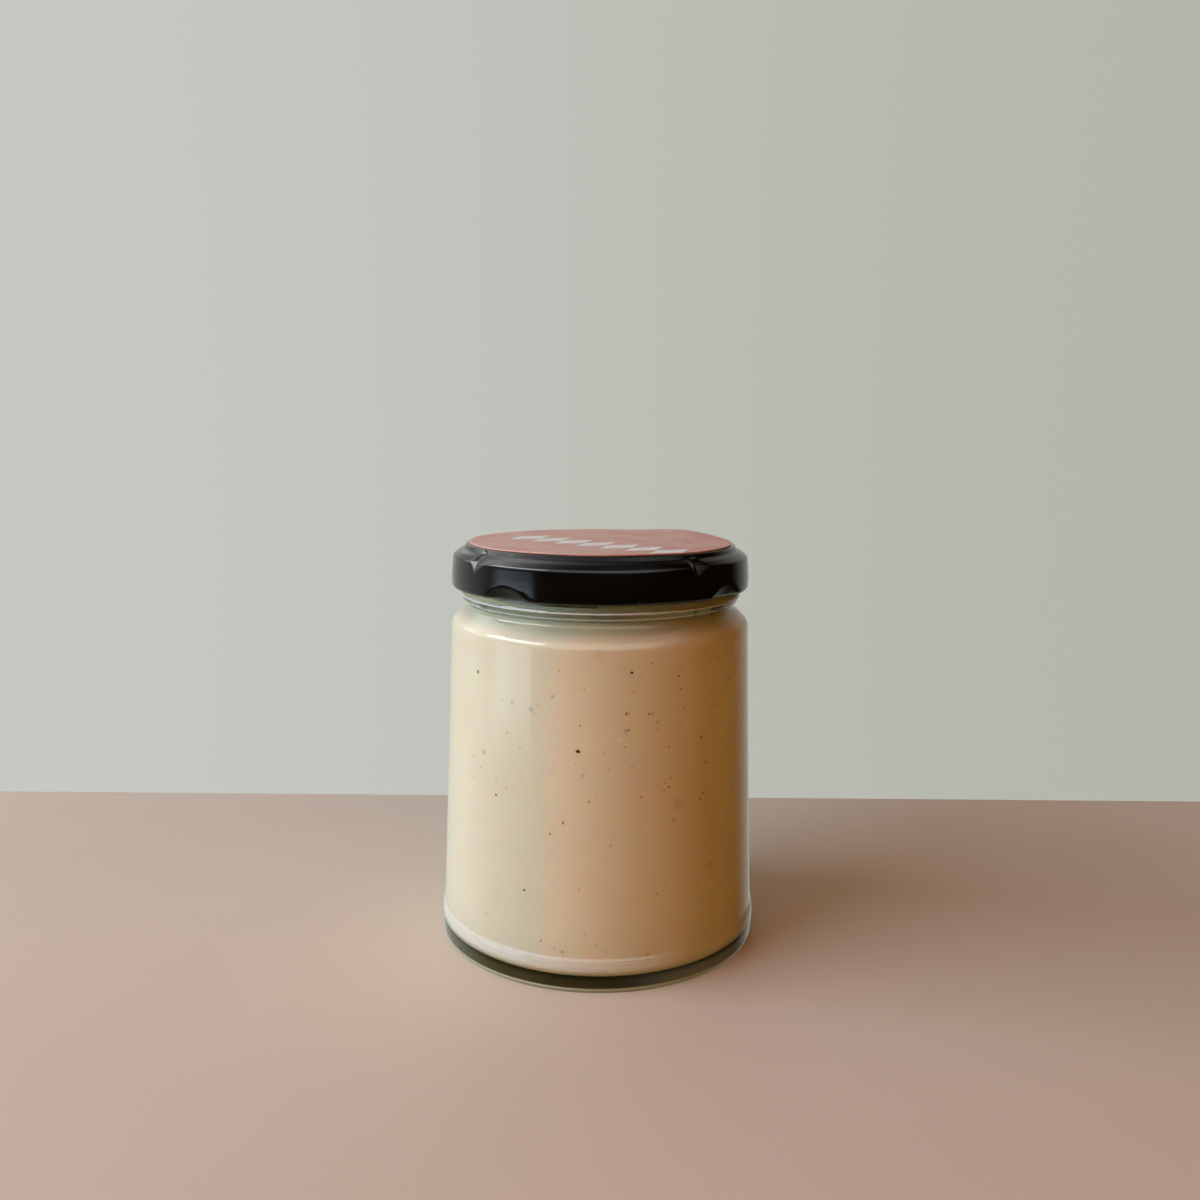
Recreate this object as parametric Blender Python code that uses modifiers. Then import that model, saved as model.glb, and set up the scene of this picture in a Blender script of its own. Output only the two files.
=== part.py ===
"""A glass jar of cocktail sauce with a black twist-off cap and a round paper sticker on the cap.

The jar stands on its base ring with the centre of that ring at the origin. +Z is up and -Y is the
front, from which the cap's nearest dents are seen. Everything is in metres. Four pieces are made:
the glass, the sauce in it, the sheet-metal cap and the sticker. Glass and cap are turned profiles;
the cap is then dented at its shoulder and drawn in at its four lugs.
"""

import math

import bmesh
import bpy

MM = 0.001

# Overall
PARTS_COLLECTION = "cocktail_sauce_jar"
TOUCH_GAP = 0.3 * MM
JAR_STEPS = 64
CAP_STEPS = 120

# Glass body, outside: the heel ring, the tapered wall above it and the shoulder
BASE_CORNER = 1.8 * MM
HEEL_RADIUS = 36.15 * MM
HEEL_WIDEST_HEIGHT = 4.2 * MM
HEEL_TOP = 7.4 * MM
HEEL_BULGE = 0.02 / MM
WALL_FOOT = 8.0 * MM
WALL_TOP = 72.1 * MM
WALL_FOOT_RADIUS = 35.68 * MM
WALL_TAPER = 2.45 * MM
WALL_BOW = 0.2 * MM
SHOULDER_CORNER = 2.6 * MM
SHOULDER_SLOPE = math.radians(40)

# Glass base, underside and floor
BEARING_INNER_RADIUS = 31.0 * MM
PUNT_RADIUS = 27.0 * MM
PUNT_RISE = 1.3 * MM
FLOOR_HEIGHT = 3.0 * MM
FLOOR_DOME = 1.2 * MM
FLOOR_CORNER = 2.6 * MM
WALL_THICKNESS = 2.2 * MM

# Cap: a raised panel, a step down to the sloping shoulder, and a barrelled skirt with a curled edge
CAP_TOP = 90.4 * MM
CAP_PANEL_RADIUS = 30.0 * MM
CAP_STEP_RADIUS = 30.6 * MM
CAP_STEP_HEIGHT = 89.7 * MM
CAP_CREASE_RADIUS = 32.8 * MM
CAP_CREASE_HEIGHT = 88.0 * MM
CAP_RADIUS = 33.25 * MM
CAP_WIDEST_HEIGHT = 83.6 * MM
CAP_BOTTOM = 81.0 * MM
CAP_CURL = 0.85 * MM
CAP_SHEET = 0.45 * MM
CAP_SEAT_INNER_RADIUS = 26.5 * MM

# Glass neck: a waist, the rounded bead that the cap ends above, and the finish inside the cap
WAIST_RADIUS = 30.05 * MM
WAIST_HEIGHT = 76.9 * MM
WAIST_HALF_HEIGHT = 0.4 * MM
BEAD_RADIUS = 31.4 * MM
BEAD_HEIGHT = 79.4 * MM
BEAD_EDGE = 0.6 * MM
BEAD_UNDERSIDE = (30.85 * MM, 78.1 * MM)
FINISH_RADIUS = 29.9 * MM
FINISH_FOOT = 80.3 * MM
RIM_HEIGHT = CAP_STEP_HEIGHT - CAP_SHEET - TOUCH_GAP
RIM_CORNER = 1.2 * MM
BORE_RADIUS = 27.3 * MM
BORE_FOOT = 77.6 * MM

# Sauce
SAUCE_LEVEL = 76.2 * MM
SAUCE_MENISCUS = 0.4 * MM

# The four dents in the cap's shoulder and its four lugs, counted round from the front
DENT_COUNT = 4
DENT_ANGLE = math.radians(36)
DENT_DEPTH = 0.8 * MM
DENT_TIP_DROP = 2.2 * MM
DENT_HALF_WIDTH = math.radians(3.4)
DENT_CROWDING = 0.6
LUG_COUNT = 4
LUG_ANGLE = math.radians(54)
LUG_DEPTH = 1.0 * MM
LUG_HEIGHT = 3.2 * MM
LUG_HALF_WIDTH = math.radians(10.5)

# Sticker
STICKER_RADIUS = 29.75 * MM
STICKER_THICKNESS = 0.3 * MM
STICKER_RINGS = 3
STICKER_STEPS = 64
LIFT_HEIGHT = 0.5 * MM
LIFT_ANGLE = math.radians(137)
LIFT_HALF_WIDTH = math.radians(40)
LIFT_START = 0.6


def clear_scene():
    """Remove every object that the file was opened with."""
    for obj in list(bpy.data.objects):
        bpy.data.objects.remove(obj, do_unlink=True)


def make_material(name, colour, roughness, metallic=0.0, transmission=0.0):
    """Return a Principled material of one colour."""
    material = bpy.data.materials.new(name)
    material.use_nodes = True
    shader = material.node_tree.nodes["Principled BSDF"]
    shader.inputs["Base Color"].default_value = (*colour, 1.0)
    shader.inputs["Roughness"].default_value = roughness
    shader.inputs["Metallic"].default_value = metallic
    shader.inputs["Transmission Weight"].default_value = transmission
    material.diffuse_color = (*colour, 1.0)
    return material


def arc(centre, radius, start_deg, end_deg, segments):
    """Return points on an arc of a profile, as (distance from the axis, height) pairs."""
    points = []
    for i in range(segments + 1):
        angle = math.radians(start_deg + (end_deg - start_deg) * i / segments)
        points.append((centre[0] + radius * math.cos(angle), centre[1] + radius * math.sin(angle)))
    return points


def wall_radius(height):
    """Outer radius of the tapered glass wall: widest at its foot, with a slight bow."""
    t = (height - WALL_FOOT) / (WALL_TOP - WALL_FOOT)
    return WALL_FOOT_RADIUS - WALL_TAPER * t + WALL_BOW * t * t


def heel_radius(height):
    """Outer radius of the heel ring, a shallow bulge."""
    return HEEL_RADIUS - HEEL_BULGE * (height - HEEL_WIDEST_HEIGHT) ** 2


def floor_height(radius):
    """Height of the domed glass floor inside the jar."""
    return FLOOR_HEIGHT + FLOOR_DOME * max(0.0, 1.0 - (radius / PUNT_RADIUS) ** 2)


def cavity_profile(inset):
    """Inside of the jar from the floor's centre up to the foot of the neck's bore.

    inset moves the line inwards, for what fills the jar.
    """
    thickness = WALL_THICKNESS + inset
    foot = wall_radius(WALL_FOOT) - thickness
    corner = (foot - FLOOR_CORNER, FLOOR_HEIGHT + inset + FLOOR_CORNER)
    points = [(0.0, floor_height(0.0) + inset)]
    for share in (0.4, 0.75):
        radius = PUNT_RADIUS * share
        points.append((radius, floor_height(radius) + inset))
    points += arc(corner, FLOOR_CORNER, -90, 0, 3)
    points.append((wall_radius(0.5 * (WALL_FOOT + WALL_TOP)) - thickness, 0.5 * (WALL_FOOT + WALL_TOP)))
    shoulder_corner = SHOULDER_CORNER - 0.4 * MM
    centre = (wall_radius(WALL_TOP) - thickness - shoulder_corner, WALL_TOP - 0.6 * MM)
    points += arc(centre, shoulder_corner, 0, 50, 2)
    return points


def glass_outside():
    """Outside of the glass from the rim down to the centre of the underside."""
    rim = (FINISH_RADIUS - RIM_CORNER, RIM_HEIGHT - RIM_CORNER)
    points = arc(rim, RIM_CORNER, 90, 0, 3)
    points.append((FINISH_RADIUS, FINISH_FOOT))
    points += arc((BEAD_RADIUS - BEAD_EDGE, BEAD_HEIGHT), BEAD_EDGE, 70, -20, 3)
    points.append(BEAD_UNDERSIDE)
    points.append((WAIST_RADIUS, WAIST_HEIGHT + WAIST_HALF_HEIGHT))
    points.append((WAIST_RADIUS, WAIST_HEIGHT - WAIST_HALF_HEIGHT))
    centre = (wall_radius(WALL_TOP) - SHOULDER_CORNER, WALL_TOP)
    points += arc(centre, SHOULDER_CORNER, 90 - math.degrees(SHOULDER_SLOPE), 0, 4)
    for share in (0.66, 0.33, 0.0):
        height = WALL_FOOT + share * (WALL_TOP - WALL_FOOT)
        points.append((wall_radius(height), height))
    for height in (HEEL_TOP, 0.5 * (HEEL_TOP + HEEL_WIDEST_HEIGHT), HEEL_WIDEST_HEIGHT):
        points.append((heel_radius(height), height))
    corner = (heel_radius(BASE_CORNER) - BASE_CORNER, BASE_CORNER)
    points += arc(corner, BASE_CORNER, 0, -90, 4)
    points += [(BEARING_INNER_RADIUS, 0.0), (PUNT_RADIUS, 0.6 * PUNT_RISE), (0.0, PUNT_RISE)]
    return points


def glass_profile():
    """Section of the whole glass: up the inside, over the rim and down the outside."""
    bore = [(BORE_RADIUS, BORE_FOOT)]
    rim = arc((BORE_RADIUS + RIM_CORNER, RIM_HEIGHT - RIM_CORNER), RIM_CORNER, 180, 90, 3)
    return cavity_profile(0.0) + bore + rim + glass_outside()


def sauce_profile():
    """Section of the sauce: its surface going out to where it wets the glass, then down to the floor."""
    side = cavity_profile(TOUCH_GAP)
    neck = (BORE_RADIUS - TOUCH_GAP, BORE_FOOT)
    share = (SAUCE_LEVEL - side[-1][1]) / (neck[1] - side[-1][1])
    wet_radius = side[-1][0] + share * (neck[0] - side[-1][0])
    flat = SAUCE_LEVEL - SAUCE_MENISCUS
    surface = [(0.0, flat), (0.93 * wet_radius, flat), (wet_radius, SAUCE_LEVEL)]
    return surface + list(reversed(side))


def cap_profile():
    """Section of the cap's sheet: its outside going out and down, the curled edge, and its underside."""
    slope = CAP_STEP_HEIGHT - CAP_CREASE_HEIGHT
    crown = (0.5 * (CAP_STEP_RADIUS + CAP_CREASE_RADIUS), CAP_CREASE_HEIGHT + 0.6 * slope)
    tip = CAP_CREASE_HEIGHT - DENT_TIP_DROP
    outside = [(0.0, CAP_TOP), (CAP_PANEL_RADIUS - 0.2 * MM, CAP_TOP)]
    outside += [(CAP_PANEL_RADIUS, CAP_TOP - 0.15 * MM), (CAP_STEP_RADIUS, CAP_STEP_HEIGHT), crown]
    outside += arc((CAP_CREASE_RADIUS - 0.5 * MM, CAP_CREASE_HEIGHT - 0.3 * MM), 0.5 * MM, 60, 10, 2)
    outside += [(CAP_CREASE_RADIUS + 0.2 * MM, tip + 0.8 * MM), (CAP_RADIUS - 0.1 * MM, tip - 0.7 * MM)]
    outside.append((CAP_RADIUS, CAP_WIDEST_HEIGHT))
    outside += arc((CAP_RADIUS - CAP_CURL - 0.05 * MM, CAP_BOTTOM + CAP_CURL), CAP_CURL, 0, -180, 6)
    skirt = CAP_CREASE_RADIUS - CAP_SHEET
    seat = CAP_STEP_HEIGHT - CAP_SHEET
    under = [(CAP_RADIUS - 2 * CAP_CURL + 0.3 * MM, CAP_BOTTOM + 2 * CAP_CURL + 0.3 * MM)]
    under += [(skirt, tip), (skirt - 0.1 * MM, CAP_CREASE_HEIGHT - CAP_SHEET)]
    under += [(CAP_STEP_RADIUS - CAP_SHEET, seat), (CAP_SEAT_INNER_RADIUS, seat)]
    under.append((0.0, CAP_TOP - CAP_SHEET))
    return outside + under


def turned_object(name, profile, steps, material):
    """Make a closed turned object of a profile that runs from the axis to the axis, outside going down."""
    mesh = bpy.data.meshes.new(name)
    obj = bpy.data.objects.new(name, mesh)
    bpy.data.collections[PARTS_COLLECTION].objects.link(obj)
    outline = bmesh.new()
    verts = [outline.verts.new((radius, 0.0, height)) for radius, height in profile]
    for first, second in zip(verts, verts[1:]):
        outline.edges.new((first, second))
    outline.to_mesh(mesh)
    outline.free()
    mesh.materials.append(material)
    screw = obj.modifiers.new("Turn", "SCREW")
    screw.axis = "Z"
    screw.angle = math.tau
    screw.steps = steps
    screw.render_steps = steps
    screw.use_merge_vertices = True
    screw.merge_threshold = 0.00001
    screw.use_smooth_shade = True
    return obj


def apply_turning(obj):
    """Turn the modifiers of an object into real faces, so that its points can be moved."""
    evaluated = obj.evaluated_get(bpy.context.evaluated_depsgraph_get())
    solid = bpy.data.meshes.new_from_object(evaluated)
    outline = obj.data
    obj.modifiers.clear()
    obj.data = solid
    bpy.data.meshes.remove(outline)
    solid.name = obj.name
    solid.shade_smooth()
    solid.set_sharp_from_angle(angle=math.radians(40))


def bump(offset, half_width):
    """Return a smooth bump: 1 at offset 0 and 0 from half_width on."""
    share = min(1.0, abs(offset) / half_width)
    return 0.5 + 0.5 * math.cos(math.pi * share)


def nearest_offset(angle, first, count):
    """Angle to the nearest of count places spread evenly round the axis, starting at first."""
    pitch = math.tau / count
    return (angle - first + 0.5 * pitch) % pitch - 0.5 * pitch


def front_angle(x, y):
    """Angle round the axis, counted from the front towards +X."""
    return math.atan2(x, -y)


def dent_depth(angle, height):
    """Depth of the V-shaped dents, whose tips point down the skirt from the shoulder."""
    tip = CAP_CREASE_HEIGHT - DENT_TIP_DROP
    if height <= tip:
        return 0.0
    rise = min(1.0, (height - tip) / (CAP_CREASE_HEIGHT - tip))
    offset = abs(nearest_offset(angle, DENT_ANGLE, DENT_COUNT))
    across = max(0.0, 1.0 - offset / (DENT_HALF_WIDTH * max(rise, 0.01)))
    fade = min(1.0, max(0.0, (CAP_TOP - height) / (CAP_TOP - CAP_CREASE_HEIGHT)))
    return DENT_DEPTH * rise * across * math.sqrt(fade)


def lug_depth(angle, height):
    """Depth of the lugs, where the lower edge of the skirt is drawn in to grip the glass."""
    offset = nearest_offset(angle, LUG_ANGLE, LUG_COUNT)
    return LUG_DEPTH * bump(offset, LUG_HALF_WIDTH) * bump(height - CAP_BOTTOM, LUG_HEIGHT)


def crowded_angle(angle):
    """Move an even spacing round the axis so that it is closest at the dents."""
    offset = nearest_offset(angle, DENT_ANGLE, DENT_COUNT)
    return angle - DENT_CROWDING * math.sin(DENT_COUNT * offset) / DENT_COUNT


def make_cap(material):
    """Make the cap and press its dents and lugs into the turned sheet."""
    cap = turned_object("cap", cap_profile(), CAP_STEPS, material)
    apply_turning(cap)
    for vertex in cap.data.vertices:
        x, y, height = vertex.co
        angle = crowded_angle(front_angle(x, y))
        radius = math.hypot(x, y)
        if radius > CAP_PANEL_RADIUS:
            radius -= dent_depth(angle, height) + lug_depth(angle, height)
        vertex.co.x = radius * math.sin(angle)
        vertex.co.y = -radius * math.cos(angle)


def sticker_lift(x, y):
    """Height by which the sticker stands off the cap: its back edge has come away in one place."""
    offset = nearest_offset(front_angle(x, y), LIFT_ANGLE, 1)
    out = max(0.0, math.hypot(x, y) / STICKER_RADIUS - LIFT_START) / (1.0 - LIFT_START)
    return LIFT_HEIGHT * out * out * bump(offset, LIFT_HALF_WIDTH)


def make_sticker(material):
    """Make the round paper sticker as a thin disc with a slightly lifted edge."""
    low = CAP_TOP + TOUCH_GAP
    high = low + STICKER_THICKNESS
    radii = [STICKER_RADIUS * i / STICKER_RINGS for i in range(STICKER_RINGS + 1)]
    profile = [(radius, high) for radius in radii] + [(radius, low) for radius in reversed(radii)]
    sticker = turned_object("cap_sticker", profile, STICKER_STEPS, material)
    apply_turning(sticker)
    for vertex in sticker.data.vertices:
        vertex.co.z += sticker_lift(vertex.co.x, vertex.co.y)


def build():
    """Make all four pieces in their collection."""
    clear_scene()
    collection = bpy.data.collections.new(PARTS_COLLECTION)
    bpy.context.scene.collection.children.link(collection)
    glass = make_material("clear_glass", (0.86, 0.90, 0.87), 0.03, transmission=1.0)
    sauce = make_material("cocktail_sauce", (0.66, 0.50, 0.31), 0.35)
    turned_object("jar", glass_profile(), JAR_STEPS, glass)
    turned_object("sauce", sauce_profile(), JAR_STEPS, sauce)
    make_cap(make_material("black_lacquer", (0.010, 0.010, 0.009), 0.22))
    make_sticker(make_material("red_paper", (0.50, 0.18, 0.13), 0.55))


build()
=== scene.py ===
"""The looks of a glass jar of cocktail sauce with a black twist-off cap and a round red paper sticker.

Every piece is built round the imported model, in metres, with +Z up and the front at -Y.
"""

import logging
import math
import random
from dataclasses import dataclass
from enum import Enum
from typing import Any, Callable, Sequence

import bpy
from mathutils import Matrix, Vector, noise


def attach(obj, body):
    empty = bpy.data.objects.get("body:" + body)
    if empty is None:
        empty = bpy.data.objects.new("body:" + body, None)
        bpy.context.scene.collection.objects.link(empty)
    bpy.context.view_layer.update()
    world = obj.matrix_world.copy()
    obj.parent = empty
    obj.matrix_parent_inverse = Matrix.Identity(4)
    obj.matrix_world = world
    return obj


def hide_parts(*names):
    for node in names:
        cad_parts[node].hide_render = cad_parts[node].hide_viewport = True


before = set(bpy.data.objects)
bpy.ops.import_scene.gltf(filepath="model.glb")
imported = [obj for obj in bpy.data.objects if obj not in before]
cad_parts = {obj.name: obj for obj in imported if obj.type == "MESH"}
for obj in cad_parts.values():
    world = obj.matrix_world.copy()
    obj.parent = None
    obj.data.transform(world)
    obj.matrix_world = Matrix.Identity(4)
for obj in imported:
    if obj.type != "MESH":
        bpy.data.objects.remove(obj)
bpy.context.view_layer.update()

LOG = logging.getLogger("cocktail_sauce_jar")
MM = 0.001
Point = tuple[float, float]
Colour = tuple[float, float, float]


# Shader graphs


class Value:
    """A number in a shader graph. Arithmetic on it adds the Math nodes that work it out."""

    def __init__(self, graph: "Graph", socket: bpy.types.NodeSocket) -> None:
        """Wrap a socket of a graph."""
        self.graph = graph
        self.socket = socket

    def _math(self, operation: str, *operands: "Value | float") -> "Value":
        """Return the result of a Math node with these operands."""
        node = self.graph.node("ShaderNodeMath", {"operation": operation}, dict(enumerate(operands)))
        return self.graph.value(node)

    def __add__(self, other: "Value | float") -> "Value":
        """Return self + other."""
        return self._math("ADD", self, other)

    __radd__ = __add__

    def __sub__(self, other: "Value | float") -> "Value":
        """Return self - other."""
        return self._math("SUBTRACT", self, other)

    def __rsub__(self, other: "Value | float") -> "Value":
        """Return other - self."""
        return self._math("SUBTRACT", other, self)

    def __mul__(self, other: "Value | float") -> "Value":
        """Return self * other."""
        return self._math("MULTIPLY", self, other)

    __rmul__ = __mul__

    def __truediv__(self, other: "Value | float") -> "Value":
        """Return self / other."""
        return self._math("DIVIDE", self, other)

    def __abs__(self) -> "Value":
        """Return the size of self."""
        return self._math("ABSOLUTE", self)

    def fraction(self) -> "Value":
        """Return what is left of self over a whole number."""
        return self._math("FRACT", self)

    def most(self, other: "Value | float") -> "Value":
        """Return the larger of self and other."""
        return self._math("MAXIMUM", self, other)

    def root(self) -> "Value":
        """Return the square root of self."""
        return self._math("SQRT", self)

    def angle(self, ahead: "Value") -> "Value":
        """Return the angle, in radians, whose tangent is self over ahead."""
        return self._math("ARCTAN2", self, ahead)

    def rise(self, low: float, high: float) -> "Value":
        """Return a smooth step in self.

        Args:
            low: Where the step is 0. It lies over high if the step falls.
            high: Where the step is 1.

        Returns:
            The step, from 0 to 1.
        """
        inputs = {"Value": self, "From Min": min(low, high), "From Max": max(low, high)}
        if low > high:
            inputs["To Min"], inputs["To Max"] = 1.0, 0.0
        node = self.graph.node("ShaderNodeMapRange", {"interpolation_type": "SMOOTHSTEP"}, inputs)
        return self.graph.value(node)

    def band(self, start: float, full: float, fading: float, end: float) -> "Value":
        """Return 1 from full to fading, and smoothly less beside them, down to 0 at start and end."""
        return self.rise(start, full) * self.rise(end, fading)


class Graph:
    """The node graph of one material, with its Object coordinates at hand."""

    def __init__(self, name: str) -> None:
        """Start an empty material.

        Args:
            name: The material's name.
        """
        self.material = bpy.data.materials.new(name)
        self.material.use_nodes = True
        self.tree = self.material.node_tree
        self.tree.nodes.clear()
        self.place = self.node("ShaderNodeTexCoord").outputs["Object"]

    def node(
        self,
        kind: str,
        settings: dict[str, Any] | None = None,
        inputs: dict[str | int, Any] | None = None,
    ) -> bpy.types.Node:
        """Add a node.

        Args:
            kind: The node's type.
            settings: Its properties, set first.
            inputs: Values or links of its sockets, by name or number.

        Returns:
            The new node.
        """
        node = self.tree.nodes.new(kind)
        for name, value in (settings or {}).items():
            setattr(node, name, value)
        for name, value in (inputs or {}).items():
            socket = node.inputs[name]
            if isinstance(value, Value):
                self.tree.links.new(value.socket, socket)
            elif isinstance(value, bpy.types.NodeSocket):
                self.tree.links.new(value, socket)
            elif socket.type == "RGBA" and len(value) == 3:
                socket.default_value = (*value, 1.0)
            else:
                socket.default_value = value
        return node

    def value(self, node: bpy.types.Node, output: str | int = 0) -> Value:
        """Return an output of a node as a Value."""
        return Value(self, node.outputs[output])

    def axes(self) -> tuple[Value, Value, Value]:
        """Return the three Object coordinates."""
        parts = self.node("ShaderNodeSeparateXYZ", inputs={0: self.place})
        return self.value(parts, 0), self.value(parts, 1), self.value(parts, 2)

    def mapped(self, scale: Sequence[float], turn: Sequence[float] = (0, 0, 0)) -> bpy.types.NodeSocket:
        """Return Object coordinates turned and scaled by a Mapping node."""
        inputs = {"Vector": self.place, "Rotation": turn, "Scale": scale}
        return self.node("ShaderNodeMapping", inputs=inputs).outputs[0]

    def noise(self, scale: float, detail: float = 2.0, roughness: float = 0.5, vector: Any = None) -> Value:
        """Return fractal noise from 0 to 1, with scale in cells per metre."""
        inputs = {"Vector": vector or self.place, "Scale": scale, "Detail": detail, "Roughness": roughness}
        return self.value(self.node("ShaderNodeTexNoise", {"normalize": True}, inputs))

    def cells(self, scale: float, vector: Any = None) -> tuple[Value, Value]:
        """Scatter points.

        Args:
            scale: How many there are to a metre.
            vector: The coordinates, if they aren't the Object coordinates.

        Returns:
            The distance to the nearest point, and a random number for that point.
        """
        inputs = {"Vector": vector or self.place, "Scale": scale}
        points = self.node("ShaderNodeTexVoronoi", {"feature": "F1"}, inputs)
        parts = self.node("ShaderNodeSeparateColor", inputs={0: points.outputs["Color"]})
        return self.value(points, "Distance"), self.value(parts, 0)

    def mix(self, share: Value, first: Any, second: Any, blend: str = "MIX") -> bpy.types.NodeSocket:
        """Return two colours mixed in that way, with that share of the second."""
        settings = {"data_type": "RGBA", "blend_type": blend, "clamp_factor": True}
        return self.node("ShaderNodeMix", settings, {0: share, 6: first, 7: second}).outputs[2]

    def bump(self, height: Value, distance: float) -> bpy.types.NodeSocket:
        """Return a normal bumped by a height from 0 to 1 that stands for distance metres."""
        return self.node("ShaderNodeBump", inputs={"Height": height, "Distance": distance}).outputs[0]

    def principled(self, inputs: dict[str | int, Any]) -> bpy.types.NodeSocket:
        """Return a Principled shader with these inputs."""
        return self.node("ShaderNodeBsdfPrincipled", inputs=inputs).outputs[0]

    def blend(self, share: Value, first: Any, second: Any) -> bpy.types.NodeSocket:
        """Return a mix of two shaders, with that share of the second."""
        return self.node("ShaderNodeMixShader", inputs={0: share, 1: first, 2: second}).outputs[0]

    def finish(self, **shaders: bpy.types.NodeSocket) -> bpy.types.Material:
        """Join shaders to the sockets of these names of the material's output, and return the material."""
        self.node("ShaderNodeOutputMaterial", inputs=shaders)
        return self.material


class RoomGraph(Graph):
    """The node graph of the surroundings, with the direction looked in as its coordinates."""

    def __init__(self, name: str) -> None:
        """Start empty surroundings.

        Args:
            name: The name of the world.
        """
        self.world = bpy.data.worlds.new(name)
        self.world.use_nodes = True
        self.tree = self.world.node_tree
        self.tree.nodes.clear()
        self.place = self.node("ShaderNodeTexCoord").outputs["Generated"]

    def surround(self, colour: bpy.types.NodeSocket) -> bpy.types.World:
        """Let a colour shine in from all round.

        Args:
            colour: The colour of the light from each direction.

        Returns:
            The world.
        """
        light = self.node("ShaderNodeBackground", inputs={"Color": colour, "Strength": 1.0})
        self.node("ShaderNodeOutputWorld", inputs={"Surface": light.outputs[0]})
        return self.world


# Finishes


class Slot(Enum):
    """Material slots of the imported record."""

    GLASS = "clear_glass"
    SAUCE = "cocktail_sauce"
    LACQUER = "black_lacquer"
    PAPER = "red_paper"


@dataclass(frozen=True)
class PaintedGlintRing:
    """A ring of painted highlight on the glass, where it is paler and rougher, in millimetres.

    It shows between the outer two of its heights, in full between the inner two, and from the first of its
    radii outwards, in full from the second.
    """

    heights: tuple[float, float, float, float]
    radii: tuple[float, float]

    def mask(self, height: Value, radius: Value) -> Value:
        """Return where the ring shows, from the height and the distance from the axis."""
        return height.band(*(h * MM for h in self.heights)) * radius.rise(*(r * MM for r in self.radii))


@dataclass(frozen=True)
class PressedGlass:
    """Clear pressed glass, faintly green, with slow waves in its skin and pale rough rings of painted
    highlight.
    """

    index: float = 1.5
    body_colour: Colour = (0.36, 0.58, 0.42)
    body_density: float = 28.0
    shadow: Colour = (0.93, 0.95, 0.93)
    smudged: Colour = (0.965, 0.975, 0.965)
    # Colours of painted light: a painted reflection round the heel and painted lines of light at the foot.
    heel_glint: Colour = (0.72, 0.84, 0.92)
    foot_glint: Colour = (0.50, 0.62, 0.48)
    wave_depth: float = 0.05 * MM
    heel: PaintedGlintRing = PaintedGlintRing((4.9, 5.6, 7.7, 8.1), (34.6, 35.0))
    heel_glint_end: tuple[float, float] = (21.0 * MM, 8.0 * MM)
    foot_rim: PaintedGlintRing = PaintedGlintRing((-1.0, -0.5, 1.0, 1.7), (33.3, 33.8))
    foot_side: PaintedGlintRing = PaintedGlintRing((0.8, 1.6, 3.0, 4.4), (34.0, 34.5))
    foot_side_start: tuple[float, float] = (6.0 * MM, 24.0 * MM)
    crests: Sequence[PaintedGlintRing] = (
        PaintedGlintRing((79.2, 79.3, 79.5, 79.6), (31.25, 31.3)),
        PaintedGlintRing((77.95, 78.05, 78.2, 78.3), (30.5, 30.6)),
    )

    def _painted_glints(self, g: Graph) -> tuple[Value, Value]:
        """Work out where highlights are painted on the glass.

        Args:
            g: The material's graph.

        Returns:
            How strongly the painted highlights show, and which of them are the foot's.
        """
        x, y, z = g.axes()
        radius = (x * x + y * y).root()
        streaks = g.noise(1.0, 3.0, 0.6, g.mapped((25.0, 25.0, 2600.0))).rise(0.25, 0.75)
        heel = self.heel.mask(z, radius) * x.rise(*self.heel_glint_end)
        rim = self.foot_rim.mask(z, radius)
        side = self.foot_side.mask(z, radius) * x.rise(*self.foot_side_start)
        # Painted highlights: a streaky painted reflection round the heel, fading to the right where the
        # lamp's light falls off, and painted lines of light at the foot and at the bead's crests.
        glints = heel * (streaks * 0.26 + 0.12) + rim * 0.55 + side * 0.22
        for crest in self.crests:
            glints = glints + crest.mask(z, radius) * 0.7
        return glints, rim.most(side)

    def material(self) -> bpy.types.Material:
        """Make the material, which lets the lamps' light straight through.

        Returns:
            The material.
        """
        g = Graph("clear_glass")
        waves = g.noise(45.0, 1.0, vector=g.mapped((1.0, 1.0, 0.45)))
        smudge = g.noise(70.0, 4.0, 0.6).rise(0.60, 0.72)
        clean = g.principled({
            "Base Color": g.mix(smudge, (1.0, 1.0, 1.0), self.smudged),
            "Roughness": smudge * 0.035 + 0.004,
            "IOR": self.index,
            "Transmission Weight": 1.0,
            "Normal": g.bump(waves, self.wave_depth),
        })
        glints, at_foot = self._painted_glints(g)
        # Pale rough finish of the painted highlights.
        glint_shader = g.principled({
            "Base Color": g.mix(at_foot, self.heel_glint, self.foot_glint),
            "Roughness": smudge * 0.1 + 0.35,
        })
        clear = g.node("ShaderNodeBsdfTransparent", inputs={"Color": self.shadow}).outputs[0]
        to_lamp = g.value(g.node("ShaderNodeLightPath"), "Is Shadow Ray")
        surface = g.blend(to_lamp, g.blend(glints, clean, glint_shader), clear)
        tint = {"Color": self.body_colour, "Density": self.body_density}
        return g.finish(Surface=surface, Volume=g.node("ShaderNodeVolumeAbsorption", inputs=tint).outputs[0])


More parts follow.
